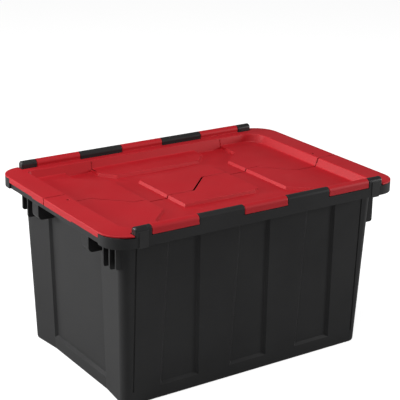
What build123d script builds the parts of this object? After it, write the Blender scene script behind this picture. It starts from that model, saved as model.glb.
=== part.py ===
from build123d import *

import math
import os

# Attached lid tote: a fluted tub and two interlocking lid halves hinged on its long sides.
# Frame: origin at the centre of the base, +X along the length, +Z up, the near side at -Y.
# The tote is the same after half a turn about Z, so the far side is made from the near side.

# ---- Driving dimensions, millimetres and degrees ----------------------------------------

# Overall
LENGTH = 562.0
WIDTH = 394.0
HEIGHT = 318.0
CORNER_RADIUS = 37.0

# Hinges
BARREL_RADIUS = 7.0
ROD_RADIUS = 2.0
ROD_CLEARANCE = 0.1
CLIP_ROD_CLEARANCE = 0.05
HINGE_END_INSET = 42.25
END_KNUCKLE = 26.0
LONG_KNUCKLES = 5
KNUCKLE_GAP = 1.0
KNUCKLE_EDGE = 0.8
KNUCKLE_INNER = 6.5
HINGE_RISE = 5.0
SWING_CLEARANCE = 0.6
NOTCH_REACH = 9.0
TROUGH_WALL = 2.4

# Clips over the outer ends of each hinge row
CLIP_STRAP_WIDTH = 16.0
CLIP_STRAP_PROUD = 0.8
CLIP_STRAP_LET_IN = 1.2
CLIP_STUB = 6.75
CLIP_OVERHANG = 3.25
CLIP_HOOK_HEIGHT = 1.5
CLIP_HOOK_DEPTH = 4.5
CLIP_DOME = 3.0
CLIP_SLOT_CLEARANCE = 0.2

# Lid plate, end lips and stacking recess
LID_PLATE = 2.5
LID_GAP = 0.5
LID_EDGE = 1.0
LID_WIDE_CORNER = 46.0
LIP_DEPTH = 9.5
LIP_THICKNESS = 2.5
LIP_CLEARANCE = 0.5
LIP_LIFT_DEPTH = 2.0
LIP_LIFT_HALF = 66.0
RECESS_BORDER_X = 39.5
RECESS_BORDER_Y = 30.0
RECESS_DEPTH = 20.0
RECESS_DRAFT_X = 8.0
RECESS_DRAFT_Y = 5.0
RECESS_WIDE_CORNER = 32.0
RECESS_TIGHT_CORNER = 9.0
RECESS_RIM_EDGE = 1.5
RECESS_FOOT_EDGE = 2.5
WALL_GROOVES_X = (-116.0, 159.0)
GROOVE_WIDTH = 2.5
GROOVE_DEPTH = 1.0
PAN_WALL = 2.3
PLATFORM_RISE = 5.0
PLATFORM_DRAFT = 25.0

# Raised platforms of the recess floor, and the stepped seam between the halves
PLATEAU_X = 79.0
PLATEAU_Y = 80.0
PLATEAU_CHAMFER = 14.0
SIDE_PLATFORM = [(118.0, 81.0), (118.0, -92.0), (167.0, -135.0)]
SIDE_FAR_CORNER = (158.0, 120.0)
STRIP_PLATFORM = [(-98.0, 107.0), (72.0, 107.0), (102.0, 135.0)]
STRIP_LEFT_CORNER = (-120.0, 134.0)
STRIP_WALL_X = (-117.0, 105.0)
SEAM_STEP = 26.0
SEAM_SHORT_X = 143.0
SEAM_LONG_X = 195.0
SEAM_GAP = 0.7
SEAM_STEP_GAP = 1.4
SEAM_WALL_GAP = 2.2
SEAM_WIDE_REACH = 3.5
SEAM_DRAFT = 2.0

# Seal holes through the lid and the end rims
SEAL_HOLE_X = 6.0
SEAL_HOLE_Y = 8.0
SEAL_HOLE_CORNER = 1.2
SEAL_HOLE_MARGIN = 0.8

# Tub collar, which the lid recess hangs into
COLLAR_GAP = 0.9
COLLAR_WALL = 2.5
COLLAR_CORNER = 11.0
COLLAR_FLOOR_GAP = 1.3

# Tub body
WALL = 2.8
FLOOR = 3.0
WALL_DRAFT = 2.0
COLLAR_TO_WALL = 2.2
BODY_CORNER = 14.0
CORNER_FLARE = 7.5
BASE_EDGE = 6.0
INSIDE_EDGE = 8.0
STANDING_RING = 22.0
BASE_RELIEF = 1.2

# Flutes sunk into the long walls, a fine line beside each corner, and the end walls' panels
PANEL_DEPTH = 4.0
PANEL_FOOT = 24.0
PANEL_SLOPE = 45.0
FLUTE_WIDTH = 60.0
FLUTE_SPACING = 136.0
FLUTE_SPREAD = 1.5
CORNER_LINE_X = 223.5
CORNER_LINE_WIDTH = 3.0
CORNER_LINE_DEPTH = 1.2
END_WALL_PANEL_HALF = 89.0
END_WALL_PANEL_DEPTH = 4.5

# Rim
SKIRT_DEPTH = 20.0
RIM_WALL = 2.8
RIM_PLATE = 2.5
RIM_RIB = 2.5

# Handhold ends and fins under the end rims
HAND_END_Y = 75.0
HAND_END_WIDTH = 21.0
HAND_END_REACH = 24.0
HAND_END_DROP = 56.0
HAND_END_ROUND = 9.0
NEAR_FINS = [(-129.0, 17.0, 68.0), (-148.0, 17.0, 67.0), (-160.0, 13.0, 65.0)]
FAR_FINS = [(129.0, 17.0, 68.0), (148.0, 17.0, 60.0)]
DEEP_FIN = (157.0, 15.5, 82.0)
FIN_THICKNESS = 3.5
FIN_ROUND = 4.0

# ---- Derived places ---------------------------------------------------------------------

HALF_X = LENGTH / 2
HALF_Y = WIDTH / 2
AXIS_Y = HALF_Y - BARREL_RADIUS
AXIS_Z = HEIGHT - BARREL_RADIUS
LID_TOP = AXIS_Z - HINGE_RISE
LID_UNDER = LID_TOP - LID_PLATE
RIM_TOP = LID_UNDER - LID_GAP
SKIRT_LOW = LID_TOP - SKIRT_DEPTH

HINGE_END = HALF_X - HINGE_END_INSET
KNUCKLE = 2 * (HINGE_END - END_KNUCKLE) / LONG_KNUCKLES
STUB_END = HINGE_END - END_KNUCKLE + CLIP_STUB
CLIP_END = HINGE_END + CLIP_OVERHANG
ROD_HALF = HINGE_END + 0.75
SKIRT_DROP = AXIS_Z - RIM_TOP
SEAT_DROP = SKIRT_DROP + 0.3
RELIEF_RADIUS = math.hypot(BARREL_RADIUS, SKIRT_DROP) + SWING_CLEARANCE
TROUGH_DROP = RELIEF_RADIUS + TROUGH_WALL / 2

RECESS_X = HALF_X - RECESS_BORDER_X
RECESS_Y = HALF_Y - RECESS_BORDER_Y
RECESS_FLOOR = LID_TOP - RECESS_DEPTH
PAN_UNDER = RECESS_FLOOR - PAN_WALL

COLLAR_X = RECESS_X + PAN_WALL + COLLAR_GAP
COLLAR_Y = RECESS_Y + PAN_WALL + COLLAR_GAP
LEDGE = PAN_UNDER - COLLAR_FLOOR_GAP
BODY_X = COLLAR_X - COLLAR_TO_WALL
BODY_Y = COLLAR_Y - COLLAR_TO_WALL

END_INSET = LIP_THICKNESS + LIP_CLEARANCE
END_FACE = HALF_X - END_INSET
LIP_END = HALF_Y - LID_WIDE_CORNER + 1.0
SEAL_HOLE = COLLAR_X + COLLAR_WALL + SEAL_HOLE_MARGIN + SEAL_HOLE_X / 2

BEYOND = 60.0


# ---- Shape helpers ----------------------------------------------------------------------

def half_turn(shape):
    """The same shape on the opposite side of the tote."""
    return Rot(0, 0, 180) * shape


def both_sides(shape):
    return shape + half_turn(shape)


def slab(sketch, low, high, taper=0.0):
    """A plan outline raised from one height to another."""
    return extrude(Pos(0, 0, low) * sketch, amount=high - low, taper=taper)


def block(x0, x1, y0, y1, z0, z1):
    centre = ((x0 + x1) / 2, (y0 + y1) / 2, (z0 + z1) / 2)
    return Pos(*centre) * Box(x1 - x0, y1 - y0, z1 - z0)


def rounded(half_x, half_y, radius):
    return RectangleRounded(2 * half_x, 2 * half_y, radius)


def frustum(low_sketch, low, high_sketch, high):
    """A straight-sided block between two outlines."""
    return loft([Pos(0, 0, low) * low_sketch, Pos(0, 0, high) * high_sketch], ruled=True)


def along_hinge(sketch, x0, x1):
    """A profile (outwards = -x, up = +y, hinge axis at its origin) run along the near hinge."""
    plane = Plane(origin=(x0, -AXIS_Y, AXIS_Z), x_dir=(0, 1, 0), z_dir=(1, 0, 0))
    return extrude(plane * sketch, amount=x1 - x0)


def barrel_profile(drop, inner):
    """A round barrel that runs down flush with the rim's outer face."""
    width = BARREL_RADIUS + inner
    web = Pos((inner - BARREL_RADIUS) / 2, -drop / 2) * Rectangle(width, drop)
    return Circle(BARREL_RADIUS) + web


def knuckle(x0, x1, drop):
    """One hinge knuckle, with its end edges rounded."""
    shape = along_hinge(barrel_profile(drop, KNUCKLE_INNER), x0, x1)
    ends = shape.faces().filter_by(Axis.X)
    return fillet(ends.edges(), KNUCKLE_EDGE)


def lid_knuckle_spans():
    """The stretches of hinge row that belong to a lid: every second long knuckle."""
    start = -HINGE_END + END_KNUCKLE
    return [
        (start + i * KNUCKLE + KNUCKLE_GAP / 2, start + (i + 1) * KNUCKLE - KNUCKLE_GAP / 2)
        for i in range(0, LONG_KNUCKLES, 2)
    ]


def tub_knuckle_spans():
    """The long knuckles between the lid's, which belong to the tub."""
    start = -HINGE_END + END_KNUCKLE
    return [
        (start + i * KNUCKLE + KNUCKLE_GAP / 2, start + (i + 1) * KNUCKLE - KNUCKLE_GAP / 2)
        for i in range(1, LONG_KNUCKLES, 2)
    ]


def end_spans(inner, outer):
    """A stretch at each end of the hinge row."""
    return [(-outer, -inner), (inner, outer)]


# ---- Tub --------------------------------------------------------------------------------

def wall_half(top_half, height):
    """Half the body's size at a height, with the walls drafted in towards the base."""
    return top_half - (LEDGE - height) * math.tan(math.radians(WALL_DRAFT))


def body_outline(height, inset, corner):
    """The body in plan: its end walls flare out beside the sunk panels to the corner posts."""
    x = wall_half(BODY_X, height) - inset
    y = wall_half(BODY_Y, height) - inset
    panel = END_WALL_PANEL_HALF
    right = [(x + CORNER_FLARE, -y), (x, -panel), (x, panel), (x + CORNER_FLARE, y)]
    left = [(-x - CORNER_FLARE, y), (-x, panel), (-x, -panel), (-x - CORNER_FLARE, -y)]
    outline = Polygon(*right, *left, align=None)
    return fillet([v for v in outline.vertices() if abs(v.Y) > panel + 1], corner)


def body_block(low, high, inset, corner):
    return frustum(body_outline(low, inset, corner), low, body_outline(high, inset, corner), high)


def flute(centre):
    """One flute of the near wall, as an outline on the wall that spreads towards the base."""
    height = LEDGE - PANEL_FOOT
    spread = height * math.tan(math.radians(FLUTE_SPREAD))
    x0 = centre - FLUTE_WIDTH / 2
    x1 = centre + FLUTE_WIDTH / 2
    return Polygon((x0, 0), (x0 - spread, -height), (x1 + spread, -height), (x1, 0), align=None)


def upright(centre, width):
    height = LEDGE - PANEL_FOOT
    return Pos(centre, -height / 2) * Rectangle(width, height)


def sunk(plane, outline, depth, grow):
    """A sloped-sided hollow in the wall, or with grow, its bulge into the space inside."""
    if grow:
        face = offset(outline, grow, kind=Kind.INTERSECTION)
        return extrude(plane * face, amount=-(depth + grow))
    hollow = extrude(plane * outline, amount=-depth, taper=PANEL_SLOPE)
    return hollow + extrude(plane * outline, amount=PANEL_DEPTH)


def sunk_panels(grow=0.0):
    draft = math.radians(WALL_DRAFT)
    near = Plane((0, -BODY_Y, LEDGE), (1, 0, 0), (0, -math.cos(draft), -math.sin(draft)))
    left = Plane((-BODY_X, 0, LEDGE), (0, -1, 0), (-math.cos(draft), 0, -math.sin(draft)))
    flutes = [flute(centre) for centre in (-FLUTE_SPACING, 0, FLUTE_SPACING)]
    panels = [sunk(near, outline, PANEL_DEPTH, grow) for outline in flutes]
    panels.append(sunk(left, upright(0, 2 * END_WALL_PANEL_HALF), END_WALL_PANEL_DEPTH, grow))
    return panels + [half_turn(panel) for panel in panels]


def corner_lines():
    """The fine grooves that set the corner posts off from the near wall."""
    draft = math.radians(WALL_DRAFT)
    near = Plane((0, -BODY_Y, LEDGE), (1, 0, 0), (0, -math.cos(draft), -math.sin(draft)))
    outlines = [upright(x, CORNER_LINE_WIDTH) for x in (-CORNER_LINE_X, CORNER_LINE_X)]
    return [extrude(near.offset(1) * face, amount=-1 - CORNER_LINE_DEPTH) for face in outlines]


def body_outside():
    outside = body_block(0, LEDGE, 0, BODY_CORNER)
    outside = fillet(outside.edges().group_by(Axis.Z)[0], BASE_EDGE)
    inset = BASE_EDGE + STANDING_RING
    relief = rounded(wall_half(BODY_X, 0) - inset, wall_half(BODY_Y, 0) - inset, BODY_CORNER)
    for line in corner_lines():
        outside = outside - both_sides(line)
    return outside - slab(relief, -1, BASE_RELIEF) - sunk_panels()


def tub_inside():
    inside = body_block(FLOOR, LEDGE, WALL, BODY_CORNER - WALL)
    inside = fillet(inside.edges().group_by(Axis.Z)[0], INSIDE_EDGE)
    inside = inside - sunk_panels(WALL)
    return inside + slab(rounded(COLLAR_X, COLLAR_Y, COLLAR_CORNER), LEDGE, HEIGHT)


def rim_outline():
    """The rim's outer shape: full at the corners, set back behind the lid's end lips."""
    outline = slab(rounded(HALF_X, HALF_Y, CORNER_RADIUS), SKIRT_LOW, RIM_TOP)
    pocket_end = LIP_END + LIP_CLEARANCE
    pocket = block(-HALF_X - 1, -END_FACE, -pocket_end, pocket_end, SKIRT_LOW - 1, RIM_TOP + 1)
    return outline - both_sides(pocket)


def rim():
    outline = rim_outline()
    hollow = rounded(END_FACE - RIM_WALL, HALF_Y - RIM_WALL, CORNER_RADIUS - RIM_WALL)
    shell = outline - slab(hollow, SKIRT_LOW - 1, RIM_TOP - RIM_PLATE)
    trough = along_hinge(Circle(RELIEF_RADIUS + TROUGH_WALL), -HALF_X, HALF_X)
    return shell + both_sides(outline & trough)


def rim_ribs():
    """Thin ribs between the collar and the long skirts, one under each knuckle joint."""
    joints = [-HINGE_END + END_KNUCKLE + i * KNUCKLE for i in range(LONG_KNUCKLES + 1)]
    inner = COLLAR_Y + COLLAR_WALL / 2
    outer = HALF_Y - RIM_WALL / 2
    half = RIM_RIB / 2
    ribs = [block(x - half, x + half, -outer, -inner, SKIRT_LOW, RIM_TOP - 1) for x in joints]
    return both_sides(ribs[0] + ribs[1:])


def swing_relief():
    """The room that the near lid's knuckles and outer edge sweep as it swings."""
    straight_end = CLIP_END + KNUCKLE_GAP + 0.5
    arc_centre = HALF_X - CORNER_RADIUS
    tip_end = arc_centre + math.sqrt(CORNER_RADIUS ** 2 - (AXIS_Y - HALF_Y + CORNER_RADIUS) ** 2) + 2
    tip_radius = HINGE_RISE + LID_PLATE + SWING_CLEARANCE
    straight = along_hinge(Circle(RELIEF_RADIUS), -straight_end, straight_end)
    plane = Plane(origin=(0, -AXIS_Y, AXIS_Z), x_dir=(0, 1, 0), z_dir=(1, 0, 0))
    circles = [
        plane.offset(straight_end) * Circle(RELIEF_RADIUS),
        plane.offset(tip_end) * Circle(tip_radius),
    ]
    cone = loft(circles, ruled=True)
    return straight + cone + mirror(cone, about=Plane.YZ)


def tub_hinge():
    """The near side's black knuckles and the seats of its clips."""
    drop = TROUGH_DROP
    knuckles = [knuckle(x0, x1, drop) for x0, x1 in tub_knuckle_spans()]
    stub_start = HINGE_END - END_KNUCKLE + KNUCKLE_GAP / 2
    knuckles += [knuckle(x0, x1, drop) for x0, x1 in end_spans(stub_start, STUB_END)]
    for x0, x1 in end_spans(STUB_END - 1, CLIP_END):
        seat = Pos(0, -(SEAT_DROP + drop) / 2)
        seat = seat * Rectangle(2 * BARREL_RADIUS, drop - SEAT_DROP)
        knuckles.append(along_hinge(seat, x0, x1))
    return knuckles


def strap_slots():
    """Where the near clips' straps are let into the rim."""
    start = STUB_END - CLIP_SLOT_CLEARANCE
    end = STUB_END + CLIP_STRAP_WIDTH + 2 * CLIP_SLOT_CLEARANCE
    inner = HALF_Y - CLIP_STRAP_LET_IN
    return [
        block(x0, x1, -HALF_Y - 1, -inner, SKIRT_LOW - 1, AXIS_Z - SEAT_DROP + 1)
        for x0, x1 in end_spans(start, end)
    ]


def end_plate(y0, y1, reach, drop, corner):
    """A plate standing out from the left end wall under the rim, rounded at its lower corner."""
    low = LID_TOP - drop
    inner = wall_half(BODY_X, low) - WALL / 2 - END_WALL_PANEL_DEPTH
    outer = BODY_X + reach
    sketch = Polygon((-outer, low), (-inner, low), (-inner, RIM_TOP - 1), (-outer, RIM_TOP - 1), align=None)
    lower_corner = sketch.vertices().group_by(Axis.X)[0].sort_by(Axis.Y)[0]
    sketch = fillet(lower_corner, corner)
    plane = Plane(origin=(0, y1, 0), x_dir=(1, 0, 0), z_dir=(0, -1, 0))
    return extrude(plane * sketch, amount=y1 - y0)


def fin(y, reach, drop):
    half = FIN_THICKNESS / 2
    return end_plate(y - half, y + half, reach, drop, FIN_ROUND)


def end_plates():
    """The blocks that close each handhold, and the fins beside them, on the left end."""
    plates = []
    for side in (-1, 1):
        hand = sorted((side * HAND_END_Y, side * (HAND_END_Y + HAND_END_WIDTH)))
        plates.append(end_plate(*hand, HAND_END_REACH, HAND_END_DROP, HAND_END_ROUND))
    plates += [fin(*size) for size in NEAR_FINS + FAR_FINS]
    return plates


def seal_hole():
    """A rounded triangular hole for a tie or seal, through the near lid's left end."""
    points = [(-SEAL_HOLE_X / 2, 0), (SEAL_HOLE_X / 2, -SEAL_HOLE_Y / 2), (SEAL_HOLE_X / 2, SEAL_HOLE_Y / 2)]
    outline = Polygon(*points, align=None)
    outline = fillet(outline.vertices(), SEAL_HOLE_CORNER)
    return slab(Pos(-SEAL_HOLE, 0) * outline, LEDGE, HEIGHT)


def tub():
    collar = rounded(COLLAR_X + COLLAR_WALL, COLLAR_Y + COLLAR_WALL, COLLAR_CORNER + COLLAR_WALL)
    collar = slab(collar, LEDGE - WALL, RIM_TOP)
    collar = collar + slab(body_outline(LEDGE, 0, BODY_CORNER), LEDGE - WALL, RIM_TOP)
    solid = body_outside() + collar + rim() + rim_ribs()
    solid = solid + both_sides(end_plates()[0] + end_plates()[1:]) + half_turn(fin(*DEEP_FIN))
    solid = solid - tub_inside() - both_sides(swing_relief())
    for feature in tub_hinge():
        solid = solid + both_sides(feature)
    for slot in strap_slots():
        solid = solid - both_sides(slot)
    bore = along_hinge(Circle(ROD_RADIUS + ROD_CLEARANCE), -HALF_X, HALF_X)
    return solid - both_sides(bore) - both_sides(seal_hole())


# ---- Lids -------------------------------------------------------------------------------

def two_corner_outline(half_x, half_y, wide, tight):
    """A rectangle with wide rounds at two opposite corners and tight ones at the others."""
    outline = Rectangle(2 * half_x, 2 * half_y)
    outline = fillet([v for v in outline.vertices() if v.X * v.Y > 0], wide)
    tight_corners = [v for v in outline.vertices() if abs(v.X * v.Y + half_x * half_y) < 1]
    return fillet(tight_corners, tight)


def recess_block(grow, depth):
    """The stacking recess, or grown by the pan's wall, the outside of the pan."""
    share = depth / RECESS_DEPTH
    shrink = 5.0 * share
    high = two_corner_outline(
        RECESS_X + grow, RECESS_Y + grow, RECESS_WIDE_CORNER + grow, RECESS_TIGHT_CORNER + grow,
    )
    low = two_corner_outline(
        RECESS_X + grow - RECESS_DRAFT_X * share,
        RECESS_Y + grow - RECESS_DRAFT_Y * share,
        RECESS_WIDE_CORNER + grow - shrink,
        RECESS_TIGHT_CORNER + grow - shrink,
    )
    return frustum(low, LID_TOP - depth, high, LID_TOP)


def platforms():
    """Outlines of the raised parts of the recess floor."""
    outer = RECESS_X + BEYOND
    wall_y = RECESS_Y + BEYOND
    near_x = SIDE_PLATFORM[-1][0]
    far_x = SIDE_FAR_CORNER[0]
    side = [(outer, -wall_y), (outer, wall_y), (far_x, wall_y), SIDE_FAR_CORNER]
    side = Polygon(*side, *SIDE_PLATFORM, (near_x, -wall_y), align=None)
    strip_left, strip_right = STRIP_WALL_X
    strip_end = [(strip_right, wall_y), (strip_left, wall_y), STRIP_LEFT_CORNER]
    strip = Polygon(*STRIP_PLATFORM, *strip_end, align=None)
    plateau = Rectangle(2 * PLATEAU_X, 2 * PLATEAU_Y)
    plateau = chamfer([v for v in plateau.vertices() if v.X * v.Y < 0], PLATEAU_CHAMFER)
    return [plateau, side, half_turn(side), strip, half_turn(strip)]


def stacking_recess():
    """What the recess takes out: a shallow pan with a rounded foot, and deeper channels."""
    shallow = recess_block(0, RECESS_DEPTH - PLATFORM_RISE)
    shallow = fillet(shallow.edges().group_by(Axis.Z)[0], RECESS_FOOT_EDGE)
    channels = recess_block(0, RECESS_DEPTH)
    level = RECESS_FLOOR + PLATFORM_RISE
    top_inset = PLATFORM_RISE * math.tan(math.radians(PLATFORM_DRAFT))
    for outline in platforms():
        channels = channels - slab(outline, RECESS_FLOOR, level, PLATFORM_DRAFT)
        top = offset(outline, -top_inset, kind=Kind.INTERSECTION)
        channels = channels - slab(top, level, LID_TOP + 1)
    grooved = recess_block(GROOVE_DEPTH, RECESS_DEPTH)
    half = GROOVE_WIDTH / 2
    for x in WALL_GROOVES_X:
        span = block(x - half, x + half, RECESS_Y - 20, HALF_Y, 0, LID_TOP - 2 * RECESS_RIM_EDGE)
        groove = grooved & span
        channels = channels + groove + half_turn(groove)
    return channels + shallow


def lips():
    """The left end lip, a little deeper at its middle for the fingers."""
    low = LID_TOP - LIP_DEPTH
    lift = low - LIP_LIFT_DEPTH
    ramp = LIP_LIFT_HALF + LIP_LIFT_DEPTH
    sketch = Polygon(
        (-LIP_END, LID_UNDER), (-LIP_END, low), (-ramp, low), (-LIP_LIFT_HALF, lift),
        (LIP_LIFT_HALF, lift), (ramp, low), (LIP_END, low), (LIP_END, LID_UNDER), align=None,
    )
    plane = Plane(origin=(-HALF_X, 0, 0), x_dir=(0, 1, 0), z_dir=(1, 0, 0))
    return extrude(plane * sketch, amount=LIP_THICKNESS)


def whole_lid():
    """Both lid halves in one, before the seam and the hinges."""
    outline = two_corner_outline(HALF_X, HALF_Y, LID_WIDE_CORNER, CORNER_RADIUS)
    plate = slab(outline, LID_UNDER, LID_TOP)
    plate = fillet(plate.edges().group_by(Axis.Z)[-1], LID_EDGE)
    pan = recess_block(PAN_WALL, RECESS_DEPTH + PAN_WALL)
    under = RECESS_FLOOR + PLATFORM_RISE - PAN_WALL
    for outline in platforms():
        pocket = offset(outline, -PAN_WALL - 0.3, kind=Kind.INTERSECTION)
        pan = pan - slab(pocket, under - PLATFORM_RISE, under, PLATFORM_DRAFT)
    lid = plate + both_sides(lips()) + pan - stacking_recess()
    rim_edges = [
        edge for edge in lid.edges().filter_by_position(Axis.Z, LID_TOP - 0.01, LID_TOP + 0.01)
        if abs(edge.center().X) < RECESS_X + 1 and abs(edge.center().Y) < RECESS_Y + 1
    ]
    lid = fillet(rim_edges, RECESS_RIM_EDGE)
    return lid - both_sides(seal_hole())


def beyond_seam(gap):
    """Everything beyond half the seam's gap, taken off to leave the near half."""
    end = HALF_X + BEYOND
    side = HALF_Y + BEYOND
    line = [
        (-end, SEAM_STEP), (-SEAM_LONG_X, SEAM_STEP), (-SEAM_SHORT_X, -SEAM_STEP),
        (-SEAM_STEP, -SEAM_STEP), (SEAM_STEP, SEAM_STEP), (SEAM_SHORT_X, SEAM_STEP),
        (SEAM_LONG_X, -SEAM_STEP), (end, -SEAM_STEP), (end, side), (-end, side),
    ]
    region = offset(Polygon(*line, align=None), gap / 2, kind=Kind.INTERSECTION)
    top = Pos(0, 0, LID_TOP + 1) * region
    return extrude(top, amount=-(RECESS_DEPTH + PAN_WALL + 2), taper=-SEAM_DRAFT)


def wider_seam(gap, spans):
    """The seam at a wider gap, over stretches of the length and their mirror images."""
    wide = beyond_seam(gap)
    zones = []
    for start, end in spans:
        right = block(start - SEAM_WIDE_REACH, end + SEAM_WIDE_REACH, -HALF_Y, HALF_Y, 0, HEIGHT)
        zones += [right, left_of(right)]
    return wide & (zones[0] + zones[1:])


def near_lid():
    side_x = SIDE_PLATFORM[0][0]
    at_steps = wider_seam(SEAM_STEP_GAP, [(PLATEAU_X, PLATEAU_X), (side_x, side_x)])
    at_walls = wider_seam(SEAM_WALL_GAP, [(0, SEAM_STEP), (RECESS_X, HALF_X)])
    lid = whole_lid() - beyond_seam(SEAM_GAP) - at_steps - at_walls
    notches = list(tub_knuckle_spans()) + end_spans(HINGE_END - END_KNUCKLE + KNUCKLE_GAP / 2, CLIP_END)
    for x0, x1 in notches:
        lid = lid - block(
            x0 - KNUCKLE_GAP, x1 + KNUCKLE_GAP,
            -HALF_Y - 1, -AXIS_Y + NOTCH_REACH, LID_UNDER - 1, LID_TOP + 1,
        )
    for x0, x1 in lid_knuckle_spans():
        lid = lid + knuckle(x0, x1, SKIRT_DROP - 0.1)
    return lid - along_hinge(Circle(ROD_RADIUS + ROD_CLEARANCE), -HALF_X, HALF_X)


# ---- Hinge hardware ---------------------------------------------------------------------

def hinge_rod():
    rod = along_hinge(Circle(ROD_RADIUS), -ROD_HALF, ROD_HALF)
    return chamfer(rod.faces().filter_by(Axis.X).edges(), ROD_RADIUS / 4)


def rod_clip():
    """The near side's right clip: a barrel end that seats on the rim, and a hooked strap."""
    cap = along_hinge(barrel_profile(SEAT_DROP, BARREL_RADIUS), STUB_END + 0.2, CLIP_END)
    cap = fillet(cap.faces().sort_by(Axis.X)[-1].edges(), CLIP_DOME)
    face = HALF_Y + CLIP_STRAP_PROUD
    back = HALF_Y - CLIP_STRAP_LET_IN + 0.1
    x0 = STUB_END + 0.2
    x1 = x0 + CLIP_STRAP_WIDTH
    strap = block(x0, x1, -face, -back, SKIRT_LOW - CLIP_HOOK_HEIGHT, AXIS_Z)
    hook = block(x0, x1, -face, -face + CLIP_HOOK_DEPTH, SKIRT_LOW - CLIP_HOOK_HEIGHT, SKIRT_LOW)
    bore = along_hinge(Circle(ROD_RADIUS + CLIP_ROD_CLEARANCE), STUB_END - 1, ROD_HALF + 0.3)
    return cap + strap + hook - bore


def left_of(shape):
    return mirror(shape, about=Plane.YZ)


PIECES = {
    "tub": tub(),
    "near_lid": near_lid(),
    "near_hinge_rod": hinge_rod(),
    "near_right_clip": rod_clip(),
    "near_left_clip": left_of(rod_clip()),
}
PIECES["far_lid"] = half_turn(PIECES["near_lid"])
PIECES["far_hinge_rod"] = half_turn(PIECES["near_hinge_rod"])
PIECES["far_left_clip"] = half_turn(PIECES["near_right_clip"])
PIECES["far_right_clip"] = half_turn(PIECES["near_left_clip"])

os.makedirs("parts", exist_ok=True)
for name, piece in PIECES.items():
    export_step(piece, f"parts/{name}.step")
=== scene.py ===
# %% [markdown]
# # Attached lid tote
# A storage tote moulded in black plastic, with two red lid halves that are hinged on its
# long sides and fold into each other over the middle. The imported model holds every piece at
# its real size. This lesson gives the pieces their finish, adds the small webs under the
# rim, and sets up a camera and studio light to look at them.

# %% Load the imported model
import math

import bpy
from mathutils import Matrix, Vector


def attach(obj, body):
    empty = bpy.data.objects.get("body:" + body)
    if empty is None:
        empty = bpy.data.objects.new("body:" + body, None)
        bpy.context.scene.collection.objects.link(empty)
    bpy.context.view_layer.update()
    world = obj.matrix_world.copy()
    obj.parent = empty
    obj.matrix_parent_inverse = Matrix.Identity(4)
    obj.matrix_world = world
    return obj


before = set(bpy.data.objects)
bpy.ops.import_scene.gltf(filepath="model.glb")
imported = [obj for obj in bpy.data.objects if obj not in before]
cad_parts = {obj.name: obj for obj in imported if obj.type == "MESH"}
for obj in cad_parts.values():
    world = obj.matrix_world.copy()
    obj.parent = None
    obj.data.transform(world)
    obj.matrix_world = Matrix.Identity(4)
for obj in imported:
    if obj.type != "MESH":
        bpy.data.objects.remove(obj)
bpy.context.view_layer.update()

MM = 0.001

# %% [markdown]
# ## The camera
# A camera is an object whose own -Z axis looks forward and whose +Y axis is up. It could be
# aimed by typing three rotation angles. Here it is aimed from the directions that a person
# behind a camera thinks in: how far the view is turned, how far it looks down, and how far
# the horizon leans. The three axes are worked out from these and put in the matrix.

# %% Camera
LID_TOP = 0.306
VIEW_TURN, VIEW_DOWN, VIEW_LEAN = (math.radians(a) for a in (34.014, 19.098, 1.02))

forward = Vector((
    math.sin(VIEW_TURN) * math.cos(VIEW_DOWN),
    math.cos(VIEW_TURN) * math.cos(VIEW_DOWN),
    -math.sin(VIEW_DOWN),
))
level_side = Vector((math.cos(VIEW_TURN), -math.sin(VIEW_TURN), 0))
level_up = level_side.cross(forward)
side = level_side * math.cos(VIEW_LEAN) + level_up * math.sin(VIEW_LEAN)
up = level_up * math.cos(VIEW_LEAN) - level_side * math.sin(VIEW_LEAN)

camera_data = bpy.data.cameras.new("camera")
camera_data.lens = 112.65
camera_data.sensor_width = 36
camera = bpy.data.objects.new("camera", camera_data)
bpy.context.scene.collection.objects.link(camera)
place = Matrix((side, up, -forward)).transposed().to_4x4()
place.translation = Vector((-1.133891, -1.687332, 0.658996 + LID_TOP))
camera.matrix_world = place
bpy.context.scene.camera = camera
print("camera at", [round(v, 3) for v in camera.location])

# %% [markdown]
# ## Floor and light
# Black plastic shows its shape mostly by which way each face looks, so the lights come from
# the sides. One large soft light hangs overhead for the lid. One stands behind on the left
# and lights the end wall, but meets the flutes' left-facing slopes at a shallow angle, so
# they stay darker than the wall. A weaker one on the right lights the long wall. The
# surroundings stay dim, because at this low angle the lid would mirror them and turn pale.
# The floor glows only where the camera sees it directly, so it looks pale and throws little
# light back up. The Standard view transform keeps the lid's red as strong as it is set,
# where the default one would soften it.

# %% Floor and studio lights
def soft_light(name, place, aim, width, depth, power):
    data = bpy.data.lights.new(name, "AREA")
    data.shape = "RECTANGLE"
    data.size = width
    data.size_y = depth
    data.energy = power
    light = bpy.data.objects.new(name, data)
    bpy.context.scene.collection.objects.link(light)
    light.location = place
    light.rotation_euler = (Vector(aim) - Vector(place)).to_track_quat("-Z", "Y").to_euler()
    return light


FLOOR_REACH = 9.0
FLOOR_GLOW = 0.84
SURROUNDINGS = 0.16
AIM = (0, 0, 0.2)

floor_mesh = bpy.data.meshes.new("floor")
corners = [(x * FLOOR_REACH, y * FLOOR_REACH, 0) for x, y in ((-1, -1), (1, -1), (1, 1), (-1, 1))]
floor_mesh.from_pydata(corners, [], [(0, 1, 2, 3)])
floor = bpy.data.objects.new("floor", floor_mesh)
bpy.context.scene.collection.objects.link(floor)
floor_paper = bpy.data.materials.new("floor_paper")
floor_paper.use_nodes = True
paper = floor_paper.node_tree.nodes["Principled BSDF"]
paper.inputs["Base Color"].default_value = (0.50, 0.50, 0.50, 1)
paper.inputs["Roughness"].default_value = 0.9
paper.inputs["Specular IOR Level"].default_value = 0.1
paper.inputs["Emission Color"].default_value = (1, 1, 1, 1)
seen = floor_paper.node_tree.nodes.new("ShaderNodeLightPath")
backlight = floor_paper.node_tree.nodes.new("ShaderNodeMath")
backlight.operation = "MULTIPLY"
backlight.inputs[1].default_value = FLOOR_GLOW
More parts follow.
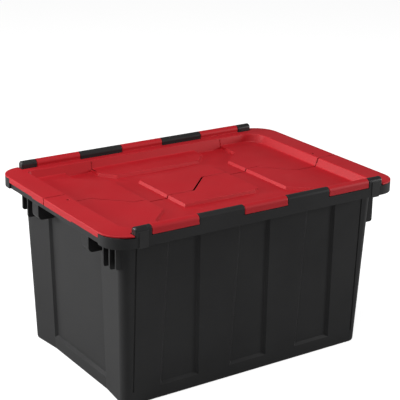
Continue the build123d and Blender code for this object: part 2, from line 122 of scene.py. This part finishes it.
floor_paper.node_tree.links.new(seen.outputs["Is Camera Ray"], backlight.inputs[0])
floor_paper.node_tree.links.new(backlight.outputs[0], paper.inputs["Emission Strength"])
floor_mesh.materials.append(floor_paper)

bpy.context.scene.view_settings.view_transform = "Standard"
world = bpy.data.worlds.new("studio")
bpy.context.scene.world = world
world.use_nodes = True
world.node_tree.nodes["Background"].inputs["Color"].default_value = (1, 1, 1, 1)
world.node_tree.nodes["Background"].inputs["Strength"].default_value = SURROUNDINGS

lights = [
    soft_light("overhead", (-0.9, -0.3, 2.0), AIM, 1.8, 1.8, 32),
    soft_light("left_back", (-2.0, 1.2, 0.75), AIM, 0.7, 0.7, 42),
    soft_light("right", (2.3, -1.2, 0.75), AIM, 0.6, 0.6, 34),
]
print("lights:", [light.name for light in lights])

# %% [markdown]
# ## Helpers for node trees
# Materials and Geometry Nodes are both trees of nodes joined by links. Two small helpers
# keep the cells short: one adds a node and fills its sockets, and one makes a shader group
# with named sockets, so that several materials can share an effect.

# %% Node helpers
def add_node(tree, kind, values=None, **settings):
    node = tree.nodes.new(kind)
    for key, value in settings.items():
        setattr(node, key, value)
    for key, value in (values or {}).items():
        if isinstance(value, bpy.types.NodeSocket):
            tree.links.new(value, node.inputs[key])
        else:
            node.inputs[key].default_value = value
    return node


def math_node(tree, operation, *values, clamp=False):
    node = add_node(tree, "ShaderNodeMath", dict(enumerate(values)), operation=operation)
    node.use_clamp = clamp
    return node.outputs[0]


def ramp(tree, value, low, high, to_low=0.0, to_high=1.0):
    limits = {"Value": value, "From Min": low, "From Max": high, "To Min": to_low, "To Max": to_high}
    return add_node(tree, "ShaderNodeMapRange", limits).outputs["Result"]


def noise(tree, vector, scale, detail, **more):
    values = {"Vector": vector, "Scale": scale, "Detail": detail, **more}
    return add_node(tree, "ShaderNodeTexNoise", values)


def shader_group(name, inputs, outputs):
    group = bpy.data.node_groups.new(name, "ShaderNodeTree")
    for socket, kind, value in inputs:
        made = group.interface.new_socket(socket, in_out="INPUT", socket_type=kind)
        if value is not None:
            made.default_value = value
    for socket, kind in outputs:
        group.interface.new_socket(socket, in_out="OUTPUT", socket_type=kind)
    start = group.nodes.new("NodeGroupInput")
    end = group.nodes.new("NodeGroupOutput")
    return group, start.outputs, end.inputs


FLOAT, VECTOR = "NodeSocketFloat", "NodeSocketVector"

# %% [markdown]
# ## Rounded edges, edge wear and painted edge highlights
# No moulded edge is razor sharp: it has a round of half a millimetre or so, which catches
# the light as a thin line, and it is the first place to be rubbed pale. The round could be
# cut into the mesh with a Bevel modifier. The Bevel shader node is used here instead,
# because it rounds the shading of every edge without changing the model's measured shape.
# Where the rounded normal and the true normal differ there is an edge, which gives the mask
# for the wear, and on the lid also for a painted highlight: a pale colour laid along the
# edges in place of the light that they catch.

# %% Group: rounded edges
rounded_edges, given, result = shader_group(
    "rounded_edges",
    [("Vector", VECTOR, None), ("Round", FLOAT, 0.0006), ("Wear Width", FLOAT, 0.0012)],
    [("Normal", VECTOR), ("Edge", FLOAT)],
)
tree = rounded_edges
soft_normal = add_node(tree, "ShaderNodeBevel", {"Radius": given["Round"]}, samples=4)
wide_normal = add_node(tree, "ShaderNodeBevel", {"Radius": given["Wear Width"]}, samples=4)
true_normal = add_node(tree, "ShaderNodeNewGeometry").outputs["True Normal"]
normals = {0: wide_normal.outputs[0], 1: true_normal}
agree = add_node(tree, "ShaderNodeVectorMath", normals, operation="DOT_PRODUCT")
# The edge band masks rubbed wear and, on the lid, a painted highlight along the edges.
edge = ramp(tree, agree.outputs["Value"], 0.995, 0.80)
patches = noise(tree, given["Vector"], 45.0, 4.0)
worn_and_highlit = math_node(tree, "MULTIPLY", edge, ramp(tree, patches.outputs["Fac"], 0.38, 0.68), clamp=True)
tree.links.new(soft_normal.outputs[0], result["Normal"])
tree.links.new(worn_and_highlit, result["Edge"])
print("group", rounded_edges.name, "has", len(tree.nodes), "nodes")

# %% [markdown]
# ## Moulded grain
# A mould is spark-eroded or blasted, which leaves a fine pebbled grain on the plastic. Its
# height is a few hundredths of a millimetre. As the plastic flows and cools it also gets
# faint clouds that are slightly glossier or duller. Two noise textures at very different
# scales give both: one drives the bump, the other the roughness and a trace of colour.

# %% Group: moulded grain
moulded_grain, given, result = shader_group(
    "moulded_grain",
    [("Vector", VECTOR, None), ("Grain Scale", FLOAT, 1100.0), ("Cloud Scale", FLOAT, 9.0)],
    [("Height", FLOAT), ("Cloud", FLOAT)],
)
tree = moulded_grain
pebbles = noise(tree, given["Vector"], given["Grain Scale"], 2.0)
clouds = noise(tree, given["Vector"], given["Cloud Scale"], 5.0, Roughness=0.6)
tree.links.new(pebbles.outputs["Fac"], result["Height"])
tree.links.new(ramp(tree, clouds.outputs["Fac"], 0.3, 0.7), result["Cloud"])
print("group", moulded_grain.name, "has", len(tree.nodes), "nodes")

# %% [markdown]
# ## Dust and handling scuffs
# Dust settles on what faces up, in uneven patches. Scuffs come from totes sliding past each
# other, so they are short thin lines, mostly level. Dust is read from the upward part of
# the surface's normal, broken up by noise. Scuffs are a noise texture whose coordinates are
# squeezed, which stretches its spots into streaks.

# %% Group: dust and scuffs
dust_and_scuffs, given, result = shader_group(
    "dust_and_scuffs",
    [("Vector", VECTOR, None), ("Scuff Amount", FLOAT, 0.5)],
    [("Dust", FLOAT), ("Scuff", FLOAT)],
)
tree = dust_and_scuffs
normal = add_node(tree, "ShaderNodeNewGeometry").outputs["Normal"]
upward = add_node(tree, "ShaderNodeSeparateXYZ", {0: normal}).outputs["Z"]
settle = noise(tree, given["Vector"], 14.0, 8.0, Roughness=0.7)
specks = noise(tree, given["Vector"], 420.0, 1.0)
facing_up = ramp(tree, upward, 0.4, 1.0)
film = math_node(tree, "MULTIPLY", facing_up, ramp(tree, settle.outputs["Fac"], 0.42, 0.72))
dust = math_node(tree, "MULTIPLY", film, ramp(tree, specks.outputs["Fac"], 0.35, 0.75), clamp=True)
squeezed = add_node(tree, "ShaderNodeMapping", {"Vector": given["Vector"], "Scale": (7.0, 7.0, 260.0)})
streaks = noise(tree, squeezed.outputs[0], 1.0, 3.0, Distortion=0.6)
gathered = ramp(tree, settle.outputs["Fac"], 0.5, 0.7)
lines = math_node(tree, "MULTIPLY", ramp(tree, streaks.outputs["Fac"], 0.66, 0.72), gathered)
tree.links.new(dust, result["Dust"])
tree.links.new(math_node(tree, "MULTIPLY", lines, given["Scuff Amount"], clamp=True), result["Scuff"])
print("group", dust_and_scuffs.name, "has", len(tree.nodes), "nodes")

# %% [markdown]
# ## The plastics
# The tub, the lids and the clips are a tough moulded plastic, coloured all the way through.
# One recipe makes all three, with its own colours and strengths for each: the clouds shift
# the colour a little, dust and worn edges lighten it, and the same masks make it duller. On
# the lid the edge colour is brighter and stronger, a painted highlight along the edges as
# well as wear.

# %% Plastic recipe
def use_group(tree, group, vector, **values):
    node = add_node(tree, "ShaderNodeGroup", node_tree=group)
    tree.links.new(vector, node.inputs["Vector"])
    for key, value in values.items():
        node.inputs[key.replace("_", " ")].default_value = value
    return node.outputs


def blend_colour(tree, amount, under, over):
    node = add_node(tree, "ShaderNodeMix", data_type="RGBA")
    for socket, value in (("Factor_Float", amount), ("A_Color", under), ("B_Color", over)):
        target = next(s for s in node.inputs if s.identifier == socket)
        if isinstance(value, bpy.types.NodeSocket):
            tree.links.new(value, target)
        else:
            target.default_value = value
    return next(s for s in node.outputs if s.identifier == "Result_Color")


def moulded_plastic(name, deep, pale, dust_colour, worn_and_highlight_colour, roughness, specular,
                    wear_and_highlight=0.5, dust=0.1, scuffs=0.4, grain=0.00002, round_mm=0.6):
    material = bpy.data.materials.new(name)
    material.use_nodes = True
    tree = material.node_tree
    shader = tree.nodes["Principled BSDF"]
    place = add_node(tree, "ShaderNodeTexCoord").outputs["Object"]
    edges = use_group(tree, rounded_edges, place, Round=round_mm * MM, Wear_Width=1.6 * round_mm * MM)
    texture = use_group(tree, moulded_grain, place)
    marks = use_group(tree, dust_and_scuffs, place, Scuff_Amount=scuffs)
    # The edge colour is rubbed wear, and on the lid also a painted highlight along the edges.
    worn_and_highlit_part = math_node(tree, "MULTIPLY", edges["Edge"], wear_and_highlight)
    dusty_part = math_node(tree, "MULTIPLY", marks["Dust"], dust)
    colour = blend_colour(tree, texture["Cloud"], (*deep, 1), (*pale, 1))
    colour = blend_colour(tree, worn_and_highlit_part, colour, (*worn_and_highlight_colour, 1))
    colour = blend_colour(tree, marks["Scuff"], colour, (*worn_and_highlight_colour, 1))
    colour = blend_colour(tree, dusty_part, colour, (*dust_colour, 1))
    tree.links.new(colour, shader.inputs["Base Color"])
    rough = ramp(tree, texture["Cloud"], 0, 1, roughness - 0.03, roughness + 0.04)
    rough = math_node(tree, "ADD", rough, math_node(tree, "MULTIPLY", marks["Scuff"], 0.12))
    rough = math_node(tree, "ADD", rough, math_node(tree, "MULTIPLY", dusty_part, 0.4), clamp=True)
    tree.links.new(rough, shader.inputs["Roughness"])
    bump = add_node(tree, "ShaderNodeBump", {"Height": texture["Height"], "Normal": edges["Normal"]})
    bump.inputs["Distance"].default_value = grain
    bump.inputs["Strength"].default_value = 0.6
    tree.links.new(bump.outputs["Normal"], shader.inputs["Normal"])
    shader.inputs["IOR"].default_value = 1.49
    shader.inputs["Specular IOR Level"].default_value = specular
    return material


# %% The tub's black, the lid's red and the clips' black
tub_plastic = moulded_plastic(
    "tub_plastic", (0.0210, 0.0210, 0.0215), (0.0270, 0.0270, 0.0275),
    dust_colour=(0.30, 0.28, 0.26), worn_and_highlight_colour=(0.10, 0.10, 0.10),
    roughness=0.38, specular=0.2, wear_and_highlight=0.5, dust=0.05, scuffs=0.10,
)
# The lid's pale red edge colour and strong edge amount paint highlight lines along its edges, on top of
# wear.
lid_plastic = moulded_plastic(
    "lid_plastic", (0.46, 0.0075, 0.014), (0.50, 0.010, 0.018),
    dust_colour=(0.62, 0.30, 0.28), worn_and_highlight_colour=(0.74, 0.12, 0.13),
    roughness=0.50, specular=0.32, wear_and_highlight=0.75, dust=0.07, scuffs=0.12,
)
clip_plastic = moulded_plastic(
    "clip_plastic", (0.012, 0.012, 0.0125), (0.016, 0.016, 0.0165),
    dust_colour=(0.30, 0.28, 0.26), worn_and_highlight_colour=(0.13, 0.13, 0.13),
    roughness=0.36, specular=0.5, wear_and_highlight=0.5, dust=0.05, scuffs=0.10, round_mm=0.5,
)
print("plastics:", tub_plastic.name, lid_plastic.name, clip_plastic.name)

# %% [markdown]
# ## Drawn steel
# The hinge rods are drawn wire: bright steel with fine lines along their length. The grain
# group is used again, with its coordinates squeezed along the rod so that its spots become
# lines. A metal's colour is the colour of its reflection, so Metallic is 1.

# %% Rod steel
rod_steel = bpy.data.materials.new("rod_steel")
rod_steel.use_nodes = True
tree = rod_steel.node_tree
steel = tree.nodes["Principled BSDF"]
place = add_node(tree, "ShaderNodeTexCoord").outputs["Object"]
drawn = add_node(tree, "ShaderNodeMapping", {"Vector": place, "Scale": (0.02, 1.0, 1.0)}).outputs[0]
lines = use_group(tree, moulded_grain, drawn, Grain_Scale=4000.0, Cloud_Scale=60.0)
DULL_STEEL, BRIGHT_STEEL = (0.42, 0.42, 0.43, 1), (0.56, 0.56, 0.57, 1)
steel_colour = blend_colour(tree, lines["Cloud"], DULL_STEEL, BRIGHT_STEEL)
tree.links.new(steel_colour, steel.inputs["Base Color"])
tree.links.new(ramp(tree, lines["Height"], 0, 1, 0.24, 0.42), steel.inputs["Roughness"])
drawn_bump = add_node(tree, "ShaderNodeBump", {"Height": lines["Height"]})
drawn_bump.inputs["Distance"].default_value = 0.00001
tree.links.new(drawn_bump.outputs["Normal"], steel.inputs["Normal"])
steel.inputs["Metallic"].default_value = 1.0

# %% [markdown]
# ## Give each piece its finish
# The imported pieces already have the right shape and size, so they stay as they are and only
# their material slots change. The names say what each piece is, which is enough to pick its
# finish.

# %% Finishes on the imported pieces
def finish_for(name):
    if "lid" in name:
        return lid_plastic
    if "rod" in name:
        return rod_steel
    if "clip" in name:
        return clip_plastic
    return tub_plastic


for name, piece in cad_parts.items():
    piece.data.materials.clear()
    piece.data.materials.append(finish_for(name))
print({name: finish_for(name).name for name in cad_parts})

# %% [markdown]
# ## Webs under the rim
# A moulded rim is a thin channel that would flex, so such moulds usually have a row of thin
# webs between the outer skirt and the wall. Here they are assumed, and hidden by the skirt.
# Each web is a plate whose lower edge slopes. Copying plates by hand would be slow to
# change. A Geometry Nodes tree puts one plate on each point of a line instead, with its
# length, number and sizes as named inputs, and the same tree makes the rows on both long
# sides. The end rims have none: fingers go there.

# %% Geometry Nodes tree for a row of webs
def web_row_tree():
    tree = bpy.data.node_groups.new("row_of_webs", "GeometryNodeTree")
    sockets = [
        ("Start", VECTOR), ("Step", VECTOR), ("Count", "NodeSocketInt"), ("Size", VECTOR),
        ("Slope", FLOAT), ("Outward", VECTOR), ("Material", "NodeSocketMaterial"),
    ]
    for socket, kind in sockets:
        tree.interface.new_socket(socket, in_out="INPUT", socket_type=kind)
    tree.interface.new_socket("Geometry", in_out="OUTPUT", socket_type="NodeSocketGeometry")
    given = add_node(tree, "NodeGroupInput").outputs
    along = {"Count": given["Count"], "Start Location": given["Start"], "Offset": given["Step"]}
    line = add_node(tree, "GeometryNodeMeshLine", along)
    plate = add_node(tree, "GeometryNodeMeshCube", {"Size": given["Size"]})
    where = add_node(tree, "GeometryNodeInputPosition").outputs[0]
    height = add_node(tree, "ShaderNodeSeparateXYZ", {0: where}).outputs["Z"]
    reach = {0: where, 1: given["Outward"]}
    outward = add_node(tree, "ShaderNodeVectorMath", reach, operation="DOT_PRODUCT")
    is_low = add_node(tree, "FunctionNodeCompare", {"A": height, "B": 0.0}, operation="LESS_THAN")
    side = {"A": outward.outputs["Value"], "B": 0.0}
    is_outer = add_node(tree, "FunctionNodeCompare", side, operation="LESS_THAN")
    corners = {0: is_low.outputs[0], 1: is_outer.outputs[0]}
    both = add_node(tree, "FunctionNodeBooleanMath", corners, operation="AND")
    lift = add_node(tree, "ShaderNodeCombineXYZ", {"Z": given["Slope"]})
    moved = {"Geometry": plate.outputs["Mesh"], "Selection": both.outputs[0], "Offset": lift.outputs[0]}
    sloped = add_node(tree, "GeometryNodeSetPosition", moved)
    placed = {"Points": line.outputs["Mesh"], "Instance": sloped.outputs[0]}
    row = add_node(tree, "GeometryNodeInstanceOnPoints", placed)
    real = add_node(tree, "GeometryNodeRealizeInstances", {"Geometry": row.outputs[0]})
    finish = {"Geometry": real.outputs[0], "Material": given["Material"]}
    dressed = add_node(tree, "GeometryNodeSetMaterial", finish)
    end = add_node(tree, "NodeGroupOutput")
    tree.links.new(dressed.outputs[0], end.inputs["Geometry"])
    return tree


row_of_webs = web_row_tree()
print("tree", row_of_webs.name, "has", len(row_of_webs.nodes), "nodes")

# %% [markdown]
# ## Place the rows
# Each row is a plain object with the tree as its modifier. The modifier's inputs are set by
# their identifiers before the object is first evaluated. The evaluated result is then
# copied to a plain mesh, so the finished piece has no modifier left on it.

# %% Two rows of webs
def web_row(name, **values):
    holder = bpy.data.objects.new(name + "_maker", bpy.data.meshes.new(name + "_maker"))
    bpy.context.scene.collection.objects.link(holder)
    modifier = holder.modifiers.new("webs", "NODES")
    modifier.node_group = row_of_webs
    for socket in row_of_webs.interface.items_tree:
        if socket.in_out == "INPUT":
            modifier[socket.identifier] = values[socket.name]
    made = holder.evaluated_get(bpy.context.evaluated_depsgraph_get())
    mesh = bpy.data.meshes.new_from_object(made)
    bpy.data.objects.remove(holder)
    piece = bpy.data.objects.new(name, mesh)
    bpy.context.scene.collection.objects.link(piece)
    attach(piece, "tub_body")
    return piece


WEB = 1.8 * MM
long_row = {"Count": 10, "Step": (43 * MM, 0.0, 0.0), "Size": (WEB, 22 * MM, 12.4 * MM)}
shared = {"Slope": 5 * MM, "Material": tub_plastic}
rows = []
for word, sign in (("near", -1), ("far", 1)):
    start = (-193.5 * MM, sign * 183.4 * MM, 292.8 * MM)
    rows.append(web_row(word + "_rim_webs", Start=start, Outward=(0.0, -sign, 0.0), **long_row, **shared))
print({piece.name: len(piece.data.polygons) for piece in rows})
